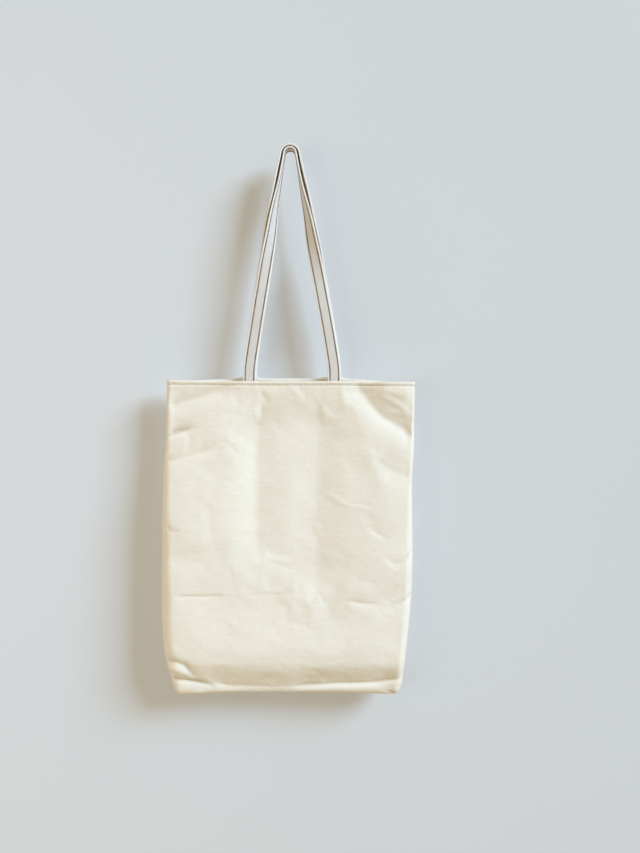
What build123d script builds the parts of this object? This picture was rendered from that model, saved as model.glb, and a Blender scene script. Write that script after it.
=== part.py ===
from build123d import *

import os
from math import acos, atan2, cos, degrees, hypot, pi, sin

# A lined canvas tote bag with two flat handles, as it hangs empty from a peg.
# Millimetres, +Z up, front towards -Y. The origin is on the axis of the peg, half-way along both handle loops.

# Bag, outer sizes as it hangs
BAG_HEIGHT = 380.0
MOUTH_WIDTH = 303.0
WIDEST_WIDTH = 304.0
BASE_WIDTH = 274.0
MOUTH_DEPTH = 16.0
BELLY_DEPTH = 38.0
TUCK_DEPTH = 26.0
BASE_DEPTH = 30.0

# Where those sizes lie, measured down from the front mouth edge
HEM_BAND = 40.0
WIDEST_DROP = 150.0
BELLY_DROP = 250.0
TUCK_DROP = 362.0
BELLY_LEVELS = 12

# Cloth
CANVAS = 1.2
LINING = 0.8
SEAM_GAP = 0.3

# Handles
STRAP_WIDTH = 16.0
STRAP_THICKNESS = 2.0
STRAP_FIT = 0.3
STRAP_SPACING = 103.0
STRAP_SEWN_LENGTH = 30.0
HANDLE_DROP = 276.0
FOLD_RISE = 7.0
BACK_LIFT = 5.0
PEG_RADIUS = 5.0
BACK_LOOP_RADIUS = 12.0
LOOP_GAP = 1.2
LEG_STATIONS = 11
LEG_BOW = 0.05
TWIST_START = 0.33
TWIST_END = 1.0

# Sizes that follow from those above
LAYER_SPACE = STRAP_THICKNESS + 2 * STRAP_FIT
LINING_INSET = CANVAS + LAYER_SPACE
FRONT, BACK = -1, 1
MOUTH_Z = {FRONT: -HANDLE_DROP, BACK: -HANDLE_DROP + BACK_LIFT}
BASE_Z = -HANDLE_DROP - BAG_HEIGHT
PANEL_FOOT_Z = BASE_Z + CANVAS + SEAM_GAP
LINING_FOOT_Z = PANEL_FOOT_Z + LINING + SEAM_GAP
LOOP_RADIUS = {FRONT: PEG_RADIUS + STRAP_THICKNESS / 2, BACK: BACK_LOOP_RADIUS + STRAP_THICKNESS / 2}
LOOP_Z = {FRONT: 0, BACK: PEG_RADIUS + STRAP_THICKNESS + LOOP_GAP - BACK_LOOP_RADIUS}
SIDE_NAME = {FRONT: "front", BACK: "back"}
HAND_SIGN = {"left": -1, "right": 1}


def eased(drop, stops):
    """Value at a drop below the mouth, swinging smoothly from each (drop, value) stop to the next."""
    for (low, start), (high, end) in zip(stops, stops[1:]):
        if drop <= high:
            turn = (1 - cos(pi * (drop - low) / (high - low))) / 2
            return start + (end - start) * turn
    return stops[-1][1]


def bag_depth(drop):
    """Front-to-back size: a thin mouth, a full belly, and the tuck where the bottom folds in above the base."""
    return eased(
        drop,
        [(0, MOUTH_DEPTH), (BELLY_DROP, BELLY_DEPTH), (TUCK_DROP, TUCK_DEPTH), (BAG_HEIGHT, BASE_DEPTH)],
    )


def bag_width(drop):
    """Side-to-side size: nearly straight sides that draw in towards the boxed corners of the base."""
    if drop <= WIDEST_DROP:
        return eased(drop, [(0, MOUTH_WIDTH), (WIDEST_DROP, WIDEST_WIDTH)])
    share = (drop - WIDEST_DROP) / (BAG_HEIGHT - WIDEST_DROP)
    return WIDEST_WIDTH - (WIDEST_WIDTH - BASE_WIDTH) * share**4


def levels(side, foot_z):
    """(height, drop) of each section of a panel, from its mouth edge down to its foot."""
    step = (TUCK_DROP - HEM_BAND) / BELLY_LEVELS
    drops = [HEM_BAND + step * i for i in range(BELLY_LEVELS + 1)]
    middle = [(-HANDLE_DROP - drop, drop) for drop in drops]
    return [(MOUTH_Z[side], 0), *middle, (foot_z, BAG_HEIGHT)]


def section_plane(side, height):
    """Level plane whose -Y points out of the front or the back of the bag, starting at the side seams."""
    return Plane(origin=(0, side * SEAM_GAP / 2, height), x_dir=(-side, 0, 0), z_dir=(0, 0, 1))


def half_section(plane, drop, inset, thickness):
    """One cloth layer of one side of the bag, cut level: flat across, and rounded back to both side seams."""
    outer = bag_depth(drop) / 2 - inset
    inner = outer - thickness
    corner = bag_width(drop) / 2 - inset - outer
    with BuildSketch(plane) as section:
        with BuildLine():
            CenterArc((-corner, 0), outer, 180, 90)
            Line((-corner, -outer), (corner, -outer))
            CenterArc((corner, 0), outer, 270, 90)
            Line((corner + outer, 0), (corner + inner, 0))
            CenterArc((corner, 0), inner, 0, -90)
            Line((corner, -inner), (-corner, -inner))
            CenterArc((-corner, 0), inner, 270, -90)
            Line((-corner - inner, 0), (-corner - outer, 0))
        make_face()
    return section.sketch


def cloth_sections(side, foot_z, inset, thickness):
    """The level cuts of one cloth layer of one side, from its mouth edge down to its foot."""
    return [
        half_section(section_plane(side, height), drop, inset, thickness)
        for height, drop in levels(side, foot_z)
    ]


def strap_y(side, height):
    """Middle of the gap between canvas and lining, in the hem band or above it."""
    low_z = -HANDLE_DROP - HEM_BAND
    share = min(1, (height - low_z) / (MOUTH_Z[side] - low_z))
    depth = bag_depth(HEM_BAND) + (MOUTH_DEPTH - bag_depth(HEM_BAND)) * share
    return side * (depth / 2 - CANVAS - LAYER_SPACE / 2 + SEAM_GAP / 2)


def fold_point(side):
    """Where the left leg of a handle folds, just above the mouth edge."""
    height = MOUTH_Z[side] + FOLD_RISE
    return Vector(-STRAP_SPACING / 2, strap_y(side, height), height)


def touch_angle(side):
    """Angle round the middle of the loop, from +X towards +Z, where a left leg meets it."""
    foot = fold_point(side) - Vector(0, 0, LOOP_Z[side])
    return atan2(foot.Z, foot.X) % (2 * pi) - acos(LOOP_RADIUS[side] / hypot(foot.X, foot.Z))


def eased_share(share):
    """Smooth way from 0 to 1, level at both ends."""
    share = min(1, max(0, share))
    return share**2 * (3 - 2 * share)


def leg_plane(side, share):
    """Plane across a left leg, from its fold (share 0) to the loop (share 1), turned a quarter on the way."""
    foot, angle = fold_point(side), touch_angle(side)
    top = Vector(cos(angle), 0, sin(angle)) * LOOP_RADIUS[side] + Vector(0, 0, LOOP_Z[side])
    bow = share**2 * (1 + LEG_BOW) / (share + LEG_BOW)
    bow_slope = (1 + LEG_BOW) * (share**2 + 2 * share * LEG_BOW) / (share + LEG_BOW) ** 2
    ease_slope = 6 * share * (1 - share)
    centre = Vector(
        foot.X + (top.X - foot.X) * bow,
        foot.Y * (1 - eased_share(share)),
        foot.Z + (top.Z - foot.Z) * share,
    )
    along = Vector((top.X - foot.X) * bow_slope, -foot.Y * ease_slope, top.Z - foot.Z)
    if share == 1:
        along = Vector(sin(angle), 0, -cos(angle))
    turn = pi / 2 * eased_share((share - TWIST_START) / (TWIST_END - TWIST_START))
    across = Vector(cos(turn), sin(turn), 0)
    across = across - along.normalized() * across.dot(along.normalized())
    return Plane(origin=centre, x_dir=across, z_dir=along)


os.makedirs("parts", exist_ok=True)

# Outer canvas and lining, one panel of each on each side, from mouth edge to base
for side in (FRONT, BACK):
    with BuildPart() as panel:
        loft(cloth_sections(side, PANEL_FOOT_Z, 0, CANVAS), ruled=True)
    panel.part.label = f"{SIDE_NAME[side]}_panel"
    export_step(panel.part, f"parts/{panel.part.label}.step")

    with BuildPart() as lining:
        loft(cloth_sections(side, LINING_FOOT_Z, LINING_INSET, LINING), ruled=True)
    lining.part.label = f"{SIDE_NAME[side]}_lining"
    export_step(lining.part, f"parts/{lining.part.label}.step")

# Boxed base, canvas below and lining above
with BuildPart() as base_panel:
    with BuildSketch(Plane.XY.offset(BASE_Z)):
        SlotOverall(BASE_WIDTH, BASE_DEPTH + SEAM_GAP)
    extrude(amount=CANVAS)
base_panel.part.label = "base_panel"
export_step(base_panel.part, "parts/base_panel.step")

with BuildPart() as base_lining:
    with BuildSketch(Plane.XY.offset(PANEL_FOOT_Z)):
        SlotOverall(BASE_WIDTH - 2 * LINING_INSET, BASE_DEPTH + SEAM_GAP - 2 * LINING_INSET)
    extrude(amount=LINING)
base_lining.part.label = "base_lining"
export_step(base_lining.part, "parts/base_lining.step")

# Handles: two legs that turn a quarter on the way up and a loop over the peg, the back one wider and outside
for side in (FRONT, BACK):
    with BuildPart() as handle:
        for i in range(LEG_STATIONS):
            with BuildSketch(leg_plane(side, i / (LEG_STATIONS - 1))):
                Rectangle(STRAP_WIDTH, STRAP_THICKNESS)
        loft(ruled=True)
        with BuildSketch(leg_plane(side, 1)):
            Rectangle(STRAP_WIDTH, STRAP_THICKNESS)
        loop_axis = Axis((0, 0, LOOP_Z[side]), (0, 1, 0))
        revolve(axis=loop_axis, revolution_arc=degrees(touch_angle(side)) - 90)
        mirror(about=Plane.YZ)
    handle.part.label = f"{SIDE_NAME[side]}_handle"
    export_step(handle.part, f"parts/{handle.part.label}.step")

    # Strap ends, sewn in between canvas and lining
    end_heights = [
        MOUTH_Z[side] - STRAP_SEWN_LENGTH,
        MOUTH_Z[side],
        MOUTH_Z[side] + FOLD_RISE - STRAP_FIT,
    ]
    for hand, sign in HAND_SIGN.items():
        with BuildPart() as strap_end:
            for height in end_heights:
                centre = (sign * STRAP_SPACING / 2, strap_y(side, height), height)
                with BuildSketch(Plane(origin=centre)):
                    Rectangle(STRAP_WIDTH, STRAP_THICKNESS)
            loft(ruled=True)
        strap_end.part.label = f"{SIDE_NAME[side]}_handle_{hand}_end"
        export_step(strap_end.part, f"parts/{strap_end.part.label}.step")
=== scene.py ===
"""Looks of a lined canvas tote bag that hangs empty by its two tape handles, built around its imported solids.

Metres, +Z up, front towards -Y, as in the frame. Folds are listed in millimetres on the cloth.
"""

import logging
import math
from collections.abc import Callable
from dataclasses import dataclass, field
from enum import Enum

import bmesh
import bpy
import numpy as np
from bpy.types import ID, Material, Node, NodeSocket, NodeTree, Object
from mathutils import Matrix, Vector


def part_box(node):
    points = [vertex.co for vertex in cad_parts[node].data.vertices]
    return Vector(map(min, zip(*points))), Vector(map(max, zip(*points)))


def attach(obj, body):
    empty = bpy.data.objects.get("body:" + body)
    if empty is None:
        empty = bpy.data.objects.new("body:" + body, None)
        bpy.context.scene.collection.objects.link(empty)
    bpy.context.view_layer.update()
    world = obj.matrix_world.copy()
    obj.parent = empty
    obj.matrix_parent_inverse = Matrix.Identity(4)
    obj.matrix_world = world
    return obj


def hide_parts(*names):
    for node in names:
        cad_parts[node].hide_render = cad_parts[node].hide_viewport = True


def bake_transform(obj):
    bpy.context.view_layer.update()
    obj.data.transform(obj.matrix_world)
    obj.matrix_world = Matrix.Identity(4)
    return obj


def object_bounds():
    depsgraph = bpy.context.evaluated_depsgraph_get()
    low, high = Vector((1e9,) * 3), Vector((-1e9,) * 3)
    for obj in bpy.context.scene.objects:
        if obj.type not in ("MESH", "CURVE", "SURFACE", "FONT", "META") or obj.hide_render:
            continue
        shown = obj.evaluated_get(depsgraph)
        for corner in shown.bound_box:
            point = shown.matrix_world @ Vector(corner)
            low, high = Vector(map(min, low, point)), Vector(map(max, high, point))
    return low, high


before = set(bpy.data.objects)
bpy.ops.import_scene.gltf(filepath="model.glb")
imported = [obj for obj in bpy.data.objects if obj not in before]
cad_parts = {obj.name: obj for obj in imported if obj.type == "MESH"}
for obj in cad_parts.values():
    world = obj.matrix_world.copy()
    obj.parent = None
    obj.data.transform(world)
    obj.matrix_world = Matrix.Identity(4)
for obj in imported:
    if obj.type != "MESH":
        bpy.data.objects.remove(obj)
CAD_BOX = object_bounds()

LOG = logging.getLogger("tote_bag")
MM = 0.001
Array = np.ndarray
Colour = tuple[float, float, float, float]
Laid = tuple[Array, Array, Array, Array]
Row = tuple[Array, Array, Array]
CLOTH_MAP = "cloth"
PAINTED_SHADE = "hollow"
FACING = "facing"
SEAM_WAY = "seam_way"
UP = np.array((0.0, 0.0, 1.0))
WHITE = (1, 1, 1, 1)


def smooth(share: Array | float) -> Array:
    """Way from 0 to 1 that is level at both ends."""
    share = np.clip(share, 0.0, 1.0)
    return share * share * (3 - 2 * share)


def unit(vectors: Array) -> Array:
    """Vectors along the last axis, each made one long."""
    return vectors / np.linalg.norm(vectors, axis=-1, keepdims=True)


def eased(place: Array, stops: tuple[tuple[float, float], ...]) -> Array:
    """Value that swings smoothly from each stop to the next.

    Args:
        place: Where the value is wanted.
        stops: Places and values, in order.

    Returns:
        The value at each place.
    """
    value = np.full(np.shape(place), stops[0][1])
    for (low, start), (high, end) in zip(stops, stops[1:]):
        share = np.clip((place - low) / (high - low), 0, 1)
        value = value + (end - start) * (1 - np.cos(math.pi * share)) / 2
    return value


def blurred(grid: Array, cells: int) -> Array:
    """Averages a grid over a square round each place, twice over.

    Args:
        grid: Values by row and column.
        cells: Reach of the square in rows and columns.

    Returns:
        The averages.
    """
    size = 2 * cells + 1
    for axis in (0, 1, 0, 1):
        edge = [(cells + 1, cells) if side == axis else (0, 0) for side in (0, 1)]
        total = np.cumsum(np.pad(grid, edge, mode="edge"), axis=axis)
        count = total.shape[axis]
        grid = (np.take(total, range(size, count), axis) - np.take(total, range(count - size), axis)) / size
    return grid


def between_points(grid: Array, rows: Array, columns: Array) -> Array:
    """Reads a grid smoothly between its points.

    Args:
        grid: Values by row and column.
        rows: Rows to read at, counted from 0, whole or not.
        columns: Columns to read at.

    Returns:
        The values by the given rows and columns.
    """
    for axis, place in enumerate((rows, columns)):
        last = grid.shape[axis] - 1
        start = np.clip(np.floor(place).astype(int), 0, last - 1)
        t = (place - start).reshape([-1 if side == axis else 1 for side in range(grid.ndim)])
        weights = (
            t * (t * (2 - t) - 1) / 2,
            (t * t * (3 * t - 5) + 2) / 2,
            t * (t * (4 - 3 * t) + 1) / 2,
            t * t * (t - 1) / 2,
        )
        near = [np.take(grid, np.clip(start + step, 0, last), axis) for step in (-1, 0, 1, 2)]
        grid = sum(weight * values for weight, values in zip(weights, near))
    return grid


def placed(name: str, data: ID) -> Object:
    """Adds an object with the given data to the scene."""
    bpy.context.scene.collection.objects.link(thing := bpy.data.objects.new(name, data))
    return thing


class Side(Enum):
    """Front or back of the bag; the value is the sign of Y on that side."""

    FRONT = -1
    BACK = 1

    @property
    def word(self) -> str:
        """The side's name in piece and node names."""
        return self.name.lower()

    def point(self, across: Array, out: Array, height: Array) -> Array:
        """Points from lengths right of the middle, out of the bag and up, as seen from outside this side."""
        return np.stack(np.broadcast_arrays(-self.value * across, self.value * out, height), axis=-1)


def by_side(front: float, back: float) -> dict[Side, float]:
    """A dataclass field that holds a number for each side of the bag."""
    return field(default_factory=lambda: {Side.FRONT: front, Side.BACK: back})


def operation(kind: str, swapped: bool = False) -> Callable:
    """Makes a method of Value that adds a Math node.

    Args:
        kind: What the node does.
        swapped: Whether the other number comes first.

    Returns:
        The method.
    """

    def method(value: "Value", *others: "Value | float") -> "Value":
        """Adds the node and gives its result."""
        inputs = (*others, value) if swapped else (value, *others)
        return value.sheet.math(kind, *inputs)

    return method


class Value:
    """A number in a node tree; Python's operators on it add Math nodes."""

    __add__ = __radd__ = operation("ADD")
    __sub__ = operation("SUBTRACT")
    __rsub__ = operation("SUBTRACT", swapped=True)
    __mul__ = operation("MULTIPLY")
    __abs__ = operation("ABSOLUTE")
    sine = operation("SINE")

    def __init__(self, sheet: "NodeSheet", socket: NodeSocket) -> None:
        """Wraps an output socket in the sheet's tree."""
        self.sheet = sheet
        self.socket = socket

    def between(self, low: float, high: float) -> "Value":
        """Smooth step from 0 at the low place to 1 at the high one."""
        sockets = {"Value": self, "From Min": low, "From Max": high}
        return self.sheet.value(self.sheet.add("ShaderNodeMapRange", {"interpolation_type": "SMOOTHSTEP"}, sockets))


class NodeSheet:
    """A node tree under construction."""

    def __init__(self, tree: NodeTree) -> None:
        """Starts from an empty tree."""
        self.tree = tree
        tree.nodes.clear()

    def add(self, kind: str, settings: dict | None = None, sockets: dict | None = None) -> Node:
        """Adds a node.

        Args:
            kind: The node's type.
            settings: Its properties, set before its sockets.
            sockets: What goes into its inputs, by name or by number: a constant, a socket, a number in
                the tree, or a node for the first output of that node.

        Returns:
            The node.
        """
        node = self.tree.nodes.new(kind)
        for name, value in (settings or {}).items():
            setattr(node, name, value)
        for key, value in (sockets or {}).items():
            source = value.socket if isinstance(value, Value) else value
            if isinstance(source, Node):
                source = source.outputs[0]
            if isinstance(source, NodeSocket):
                self.tree.links.new(source, node.inputs[key])
            else:
                node.inputs[key].default_value = source
        return node

    def value(self, node: Node, output: int | str = 0) -> Value:
        """An output of a node as a number for maths."""
        return Value(self, node.outputs[output])

    def math(self, kind: str, *values: Value | float) -> Value:
        """The result of a new Math node of the given kind, with its inputs in order."""
        return self.value(self.add("ShaderNodeMath", {"operation": kind}, dict(enumerate(values))))

    def mix(self, factor: Value, first: object, second: object) -> NodeSocket:
        """A colour mixed from two colours or colour sockets, the first at factor 0 and the second at 1."""
        sockets = {0: factor, 6: first, 7: second}
        return self.add("ShaderNodeMix", {"data_type": "RGBA"}, sockets).outputs[2]

    def noise(self, vector: NodeSocket, scale: tuple[float, float, float], detail: float) -> Value:
        """Noise on stretched coordinates.

        Args:
            vector: The coordinates.
            scale: Grains per metre along each axis.
            detail: Octaves of finer noise.

        Returns:
            The noise, about 0.5 on average.
        """
        place = self.add("ShaderNodeMapping", None, {"Vector": vector, "Scale": scale})
        sockets = {"Vector": place, "Scale": 1.0, "Detail": detail}
        return self.value(self.add("ShaderNodeTexNoise", None, sockets))

    def cloth_map(self) -> tuple[NodeSocket, Value, Value]:
        """The piece's own map on the flat cloth.

        Returns:
            Coordinates, first number and second number.
        """
        cloth = self.add("ShaderNodeUVMap", {"uv_map": CLOTH_MAP}).outputs[0]
        axes = self.add("ShaderNodeSeparateXYZ", None, {0: cloth})
        return cloth, self.value(axes, 0), self.value(axes, 1)

    def object_map(self) -> NodeSocket:
        """The object's own coordinates."""
        return self.add("ShaderNodeTexCoord").outputs["Object"]

    def hollow(self) -> Value:
        """The painted-shade mask stored on the piece's points: crease depth on the cloth panels, 1 on a strap's reverse
        face.
        """
        return self.value(self.add("ShaderNodeAttribute", {"attribute_name": PAINTED_SHADE}), "Fac")


@dataclass(frozen=True, kw_only=True)
class Finish:
    """What every finish has: a name, and a draw method that fills its node tree."""

    name: str

    def material(self) -> Material:
        """Builds the finish's material.

        Returns:
            The material.
        """
        material = bpy.data.materials.new(self.name)
        material.use_nodes = True
        self.draw(NodeSheet(material.node_tree))
        return material


@dataclass(frozen=True, kw_only=True)
class ClothFinish(Finish):
    """What cloth and thread share: a soft surface with a relief."""

    roughness: float
    sheen: float
    relief: float
    roughness_swing: float = 0.2
    sheen_roughness: float = 0.45
    specular: float = 0.32

    def close(self, sheet: NodeSheet, colour: object, grain: Value, height: Value) -> None:
        """Joins a colour, a grain and a height to a surface.

        Args:
            sheet: The material's tree.
            colour: Colour or colour socket.
            grain: What varies the roughness, about 0.5 on average.
            height: Height of the surface, in units of the relief.
        """
        bump = sheet.add("ShaderNodeBump", None, {"Height": height, "Distance": self.relief, "Strength": 1.0})
        sockets = {
            "Base Color": colour,
            "Roughness": (grain - 0.5) * self.roughness_swing + self.roughness,
            "Normal": bump,
            "Sheen Weight": self.sheen,
            "Sheen Roughness": self.sheen_roughness,
            "Specular IOR Level": self.specular,
        }
        surface = sheet.add("ShaderNodeBsdfPrincipled", None, sockets)
        sheet.add("ShaderNodeOutputMaterial", None, {"Surface": surface})


@dataclass(frozen=True, kw_only=True)
class WovenFinish(ClothFinish):
    """Plain-weave cotton with slubs in the weft, with painted shade, warmer and darker, mixed into its creases.

    Slubs, flecks, blotches and crinkles each have a size across, a size along, and octaves of noise.
    """

    light: Colour
    dark: Colour
    # painted shade: the colour that creases are mixed towards, standing in for their shade
    crease: Colour
    pitch: float
    roughness_swing: float = 0.25
    slub: tuple[float, float, float] = (0.018, 0.0011, 4.0)
    fleck: tuple[float, float, float] = (0.0011, 0.018, 2.0)
    blotch: tuple[float, float, float] = (0.045, 0.045, 2.0)
    crinkle: tuple[float, float, float] = (0.012, 0.008, 3.0)
    over_slope: float = 3.0
    tone_parts: tuple[float, float, float] = (0.55, 0.2, 0.45)
    tone_range: tuple[float, float] = (0.35, 0.85)
    crease_shade_share: float = 0.5
    height_parts: tuple[float, float, float] = (0.6, 0.7, 4.5)

    def draw(self, sheet: NodeSheet) -> None:
        """Draws the finish on the piece's own cloth map.

        Args:
            sheet: The material's tree.
        """
        cloth, across, along = sheet.cloth_map()
        warp, weft = ((way * (math.pi / self.pitch)).sine() for way in (across, along))
        over = (warp * weft * self.over_slope + 0.5).between(0.0, 1.0)
        weave = abs(warp) * (1 - over) + abs(weft) * over
        slub, fleck, blotch, crinkle = (
            sheet.noise(cloth, (1 / wide, 1 / long, 1.0), detail)
            for wide, long, detail in (self.slub, self.fleck, self.blotch, self.crinkle)
        )
        tone = slub * self.tone_parts[0] + fleck * self.tone_parts[1] + blotch * self.tone_parts[2]
        colour = sheet.mix(tone.between(*self.tone_range), self.dark, self.light)
        # Painted shade: creases take on the crease colour by the stored mask of how deep they lie.
        colour = sheet.mix(sheet.hollow().between(0.0, 1.0) * self.crease_shade_share, colour, self.crease)
        height = weave * self.height_parts[0] + slub * self.height_parts[1] + crinkle * self.height_parts[2]
        self.close(sheet, colour, slub, height)


@dataclass(frozen=True, kw_only=True)
class TapeFinish(ClothFinish):
    """Twill tape: an off-white face between two stitch rows, whiter margins, and a tan reverse face, darkened further
    as painted shade.
    """

    face: Colour
    margin: Colour
    shade: Colour
    shaded_backing: Colour
    row_offset: float
    pitch: float
    yarn_slant: float = 0.6
    yarn_count: float = 2.3
    wear_scale: tuple[float, float, float] = (90.0, 420.0, 1.0)
    wear_start: float = 0.42
    wear_share: float = 0.9
    edge_fade: float = 0.0006
    row_reach: float = 0.0011
    row_share: float = 0.5
    height_parts: tuple[float, float, float] = (0.5, 0.2, 0.5)

    def draw(self, sheet: NodeSheet) -> None:
        """Draws the finish on the tape's own map, along it and across it.

        Args:
            sheet: The material's tree.
        """
        cloth, along, across = sheet.cloth_map()
        wave = 2 * math.pi / self.pitch
        rib = ((along + across) * wave).sine()
        yarn = ((along - across * self.yarn_slant) * (wave * self.yarn_count)).sine()
        wear = sheet.noise(cloth, self.wear_scale, 4.0)
        edge = abs(across).between(self.row_offset, self.row_offset + self.edge_fade)
        row = abs(abs(across) - self.row_offset).between(self.row_reach, 0.0)
        colour = sheet.mix(edge, self.face, self.margin)
        colour = sheet.mix((wear - self.wear_start) * self.wear_share * (1 - edge), colour, self.shade)
        colour = sheet.mix(row * self.row_share, colour, self.shade)
        # Painted shade: the tape's reverse face, marked by the stored mask, is tan darkened to stand in for the shade
        # between the nested straps.
        colour = sheet.mix(sheet.hollow() * (1 - edge), colour, self.shaded_backing)
        height = rib * self.height_parts[0] + yarn * self.height_parts[1] + wear * self.height_parts[2] + 0.5
        self.close(sheet, colour, wear, height)


@dataclass(frozen=True, kw_only=True)
class ThreadFinish(ClothFinish):
    """Spun sewing thread, a little uneven in colour."""

    light: Colour
    dark: Colour
    roughness: float = 0.6
    sheen: float = 0.0
    relief: float = 0.0001
    grain: float = 0.0012
    tone_range: tuple[float, float] = (0.3, 0.7)

    def draw(self, sheet: NodeSheet) -> None:
        """Draws the finish on object coordinates.

        Args:
            sheet: The material's tree.
        """
        fibre = sheet.noise(sheet.object_map(), (1 / self.grain,) * 3, 3.0)
        colour = sheet.mix(fibre.between(*self.tone_range), self.dark, self.light)
        self.close(sheet, colour, fibre, fibre)


@dataclass(frozen=True, kw_only=True)
class PaintFinish(Finish):
    """Matt pale paint of the stage; the back of a one-sided sheet can be seen through."""

    colour: Colour
    one_sided: bool
    mottle_scale: float = 3.0
    mottle_start: float = 0.3
    mottle_share: float = 0.06

    def draw(self, sheet: NodeSheet) -> None:
        """Draws the finish on object coordinates.

        Args:
            sheet: The material's tree.
        """
        mottle = sheet.noise(sheet.object_map(), (self.mottle_scale,) * 3, 2.0)
        tint = sheet.mix((mottle - self.mottle_start) * self.mottle_share, self.colour, WHITE)
        surface = sheet.add("ShaderNodeBsdfDiffuse", None, {"Color": tint})
        if self.one_sided:
            behind = sheet.add("ShaderNodeNewGeometry").outputs["Backfacing"]
            clear = sheet.add("ShaderNodeBsdfTransparent")
            surface = sheet.add("ShaderNodeMixShader", None, {0: behind, 1: surface, 2: clear})
        sheet.add("ShaderNodeOutputMaterial", None, {"Surface": surface})


# In both cloths, crease is the colour of painted shade mixed into creases.
CANVAS = WovenFinish(
    name="cream_canvas", roughness=0.78, sheen=0.12,
    light=(0.885, 0.872, 0.825, 1), dark=(0.82, 0.805, 0.75, 1), crease=(0.56, 0.46, 0.30, 1),
    pitch=0.0007, relief=0.00011,
)
LINING = WovenFinish(
    name="white_lining", roughness=0.85, sheen=0.05,
    light=(0.87, 0.855, 0.82, 1), dark=(0.80, 0.785, 0.745, 1), crease=(0.60, 0.56, 0.48, 1),
    pitch=0.0005, relief=0.00006,
)
TAPE = TapeFinish(
    name="twill_tape", roughness=0.8, sheen=0.08,
    face=(0.735, 0.735, 0.75, 1), margin=(0.89, 0.90, 0.92, 1), shade=(0.60, 0.58, 0.55, 1),
    # The reverse face is tan, darkened as painted shade.
    shaded_backing=(0.58, 0.45, 0.28, 1),
    row_offset=0.00525, pitch=0.0011, relief=0.00012,
)
BROWN_THREAD = ThreadFinish(
    name="brown_sewing_thread", light=(0.15, 0.092, 0.050, 1), dark=(0.065, 0.038, 0.020, 1)
)
# The hem thread is beige, darkened further as painted shade of the hem's stitch groove.
CREAM_THREAD = ThreadFinish(
    name="cream_sewing_thread", light=(0.50, 0.385, 0.24, 1), dark=(0.34, 0.25, 0.145, 1)
)
WALL_PAINT = PaintFinish(name="wall_paint", colour=(0.665, 0.715, 0.79, 1), one_sided=True)
FLOOR_PAINT = PaintFinish(name="floor_paint", colour=(0.68, 0.67, 0.66, 1), one_sided=False)
FINISHES = {
    "canvas": CANVAS, "lining": LINING, "strap": TAPE, "brown_thread": BROWN_THREAD, "cream_thread": CREAM_THREAD,
}


@dataclass(frozen=True)
class Fold:
    """A fold along a line on a panel, in millimetres across from the middle and down from the mouth.

    Seen from outside and walking along the line, the cloth comes back within one reach on the left hand
    and within another on the right hand. A power of 2 is a soft trough, and 1 a pressed crease.
    """

    line: tuple[tuple[float, float], ...]
    depth: float
    left: float
    right: float
    power: float = 1.6
    fade: float = 0.35
    blend: float = 4.0
    runs: int = 8

    def path(self) -> Array:
        """The line as a smooth curve of short straight runs.

        Returns:
            The ends of the runs, in order.
        """
        knots = np.array(self.line, float)
        if len(knots) < 3:
            return knots
        ends = np.vstack((2 * knots[0] - knots[1], knots, 2 * knots[-1] - knots[-2]))
        t = np.linspace(0, 1, self.runs, endpoint=False)[:, None]
        curve = []
        for a, b, c, d in zip(ends, ends[1:], ends[2:], ends[3:]):
            bend = 2 * a - 5 * b + 4 * c - d
            curve.append(b + 0.5 * t * (c - a + t * (bend + t * (3 * (b - c) + d - a))))
        return np.vstack((*curve, knots[-1:]))

    def at(self, across: Array, drop: Array) -> Array:
        """How far the cloth stands out at each place because of this fold.

        Args:
            across: Millimetres to the right of the middle.
            drop: Millimetres below the mouth.

        Returns:
            Millimetres out of the panel, negative inwards.
        """
        path = self.path()
        steps = np.diff(path, axis=0)
        lengths = np.hypot(steps[:, 0], steps[:, 1])
        starts = np.concatenate(([0.0], np.cumsum(lengths)))
        nearest = np.full(across.shape, np.inf)
        hand, along, weights = (np.zeros(across.shape) for _ in range(3))
        for start, step, length, done in zip(path, steps, lengths, starts):
            dx, dy = across - start[0], drop - start[1]
            share = np.clip((dx * step[0] + dy * step[1]) / length**2, 0, 1)
            away = np.hypot(dx - share * step[0], dy - share * step[1])
            closer = away < nearest
            nearest = np.where(closer, away, nearest)
            hand = np.where(closer, dx * step[1] - dy * step[0], hand)
            weight = length * np.exp(-away / self.blend)
            along = along + weight * (done + share * length) / starts[-1]
            weights = weights + weight
        reach = np.where(hand > 0, self.left, self.right)
        along = along / weights
        ends = smooth(along / self.fade) * smooth((1 - along) / self.fade)
        return -self.depth * ends * np.exp(-((nearest / reach) ** self.power))


@dataclass(frozen=True)
class Swell:
    """A broad rise or hollow in a panel, in millimetres."""

    middle: tuple[float, float]
    radii: tuple[float, float]
    height: float

    def at(self, across: Array, drop: Array) -> Array:
        """Millimetres that the cloth stands out at each place because of this swell."""
        u, v = (across - self.middle[0]) / self.radii[0], (drop - self.middle[1]) / self.radii[1]
        return self.height * np.exp(-(u * u + v * v))


@dataclass(frozen=True)
class Ripple:
    """Slight waviness of worn cloth: waves of mixed length and direction, the same each run."""

    height: float
    shortest: float
    longest: float
    seed: int
    waves: int = 40

    def at(self, across: Array, drop: Array) -> Array:
        """Millimetres that the cloth stands out at each place because of the waves.

        Args:
            across: Millimetres to the right of the middle.
            drop: Millimetres below the mouth.

        Returns:
            The height at each place.
        """
        draw = np.random.default_rng(self.seed)
        total = np.zeros(np.broadcast(across, drop).shape)
        for _ in range(self.waves):
            length = self.shortest * (self.longest / self.shortest) ** draw.random()
            angle, phase = 2 * math.pi * draw.random(2)
            run = across * math.cos(angle) + drop * math.sin(angle)
            total += np.sin(2 * math.pi * run / length + phase) * length / self.longest
        return self.height * total / math.sqrt(self.waves)


def relief(items: tuple[Fold | Swell | Ripple, ...], across: Array, drop: Array) -> Array:
    """Metres that the cloth stands out because of some folds, swells or ripples, at places in metres."""
    return sum(item.at(across / MM, drop / MM) for item in items) * MM


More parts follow.
